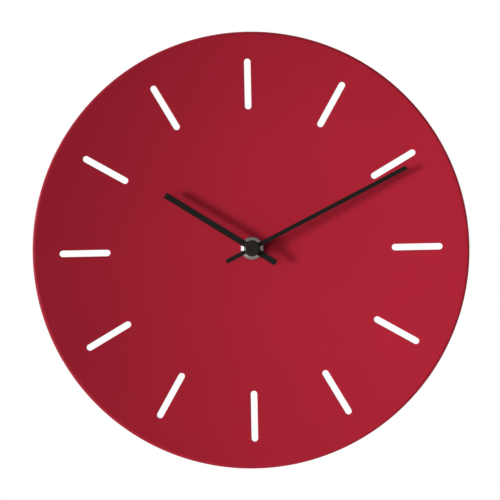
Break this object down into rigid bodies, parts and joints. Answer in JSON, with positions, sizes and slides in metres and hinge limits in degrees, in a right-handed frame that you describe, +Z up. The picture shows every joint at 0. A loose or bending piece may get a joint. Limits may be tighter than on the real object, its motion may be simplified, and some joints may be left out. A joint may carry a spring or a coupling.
{
  "type": "wall clock",
  "caption": "Round wall clock: a shallow red metal dish with cut-through hour marks, black baton hands and a battery movement behind.",
  "frame": {"origin": "where the hands' axis meets the wall plane, on the flat back of the movement", "axes": "+Z up to twelve o'clock, +X to three o'clock, +Y into the wall; the dial faces -Y"},
  "size_m": [0.255, 0.0347, 0.255],
  "materials": {
    "dial_paint": "satin red spray paint on pressed steel sheet",
    "hand_paint": "satin black paint on thin aluminium",
    "nickel_plate": "bright nickel plate",
    "zinc_steel": "bright zinc plate on pressed steel",
    "brass": "turned brass",
    "copper_wire": "enamelled copper wire, wound in even layers",
    "rubber": "matt black rubber",
    "case_plastic": "fine spark-eroded black moulding",
    "white_plastic": "plain moulded acetal",
    "blue_plastic": "plain moulded acetal",
    "magnet_ferrite": "sintered magnet",
    "circuit_laminate": "green solder resist on laminate",
    "epoxy": "poured epoxy",
    "cell_sleeve": "shrink sleeve on a steel can"
  },
  "bodies": {
    "clock_body": {"dial_dish": "dial_paint", "round_nut": "nickel_plate", "dial_washer": "nickel_plate", "rubber_washer": "rubber", "wall_hanger": "zinc_steel", "threaded_bush": "brass", "movement_case": "case_plastic", "rear_cover": "case_plastic", "train_plate": "white_plastic", "stator": "zinc_steel", "coil_core": "zinc_steel", "coil_bobbin": "case_plastic", "coil_winding": "copper_wire", "circuit_board": "circuit_laminate", "chip_blob": "epoxy", "quartz_crystal": "nickel_plate", "negative_contact": "nickel_plate", "positive_contact": "nickel_plate"},
    "minute_arbor": {"minute_hand": "hand_paint", "minute_hand_cap": "hand_paint", "minute_arbor": "brass"},
    "centre_wheel": {"centre_wheel": "white_plastic"},
    "hour_wheel": {"hour_hand": "hand_paint", "hour_wheel": "white_plastic"},
    "motion_wheel": {"motion_wheel": "blue_plastic"},
    "setting_knob": {"setting_knob": "case_plastic"},
    "third_wheel": {"third_wheel": "white_plastic"},
    "seconds_wheel": {"seconds_wheel": "white_plastic"},
    "step_wheel": {"step_wheel": "white_plastic"},
    "rotor": {"rotor_pinion": "white_plastic", "rotor_magnet": "magnet_ferrite"},
    "battery": {"battery_cell": "cell_sleeve"}
  },
  "joints": [
    {"name": "minute_hand_turn", "type": "hinge", "parent": "clock_body", "child": "minute_arbor", "pos_m": [0, 0, 0], "axis": [0, 1, 0], "continuous": true},
    {"name": "hour_hand_turn", "type": "hinge", "parent": "clock_body", "child": "hour_wheel", "pos_m": [0, 0, 0], "axis": [0, 1, 0], "continuous": true},
    {"name": "motion_wheel_turn", "type": "hinge", "parent": "clock_body", "child": "motion_wheel", "pos_m": [0.00629, 0, 0.00441], "axis": [0, 1, 0], "continuous": true},
    {"name": "setting_knob_turn", "type": "hinge", "parent": "clock_body", "child": "setting_knob", "pos_m": [0.01258, 0, 0.00881], "axis": [0, 1, 0], "continuous": true},
    {"name": "seconds_wheel_turn", "type": "hinge", "parent": "clock_body", "child": "seconds_wheel", "pos_m": [0, 0, 0], "axis": [0, 1, 0], "continuous": true},
    {"name": "centre_wheel_turn", "type": "hinge", "parent": "clock_body", "child": "centre_wheel", "pos_m": [0, 0, 0], "axis": [0, 1, 0], "continuous": true},
    {"name": "third_wheel_turn", "type": "hinge", "parent": "clock_body", "child": "third_wheel", "pos_m": [-0.0088, 0, 0.0032], "axis": [0, 1, 0], "continuous": true},
    {"name": "step_wheel_turn", "type": "hinge", "parent": "clock_body", "child": "step_wheel", "pos_m": [0, 0, 0.00936], "axis": [0, 1, 0], "continuous": true},
    {"name": "rotor_turn", "type": "hinge", "parent": "clock_body", "child": "rotor", "pos_m": [-0.00249, 0, 0.0162], "axis": [0, 1, 0], "continuous": true},
    {"name": "battery_slide", "type": "slide", "parent": "clock_body", "child": "battery", "axis": [0, 1, 0], "range_m": [0, 0.018]}
  ],
  "couplings": [
    {"joint": "hour_hand_turn", "follows": "minute_hand_turn", "ratio": 0.083333},
    {"joint": "motion_wheel_turn", "follows": "minute_hand_turn", "ratio": -0.33333},
    {"joint": "setting_knob_turn", "follows": "minute_hand_turn", "ratio": 1},
    {"joint": "third_wheel_turn", "follows": "seconds_wheel_turn", "ratio": -0.13333},
    {"joint": "centre_wheel_turn", "follows": "seconds_wheel_turn", "ratio": 0.016667},
    {"joint": "step_wheel_turn", "follows": "seconds_wheel_turn", "ratio": -5},
    {"joint": "rotor_turn", "follows": "seconds_wheel_turn", "ratio": 30}
  ]
}
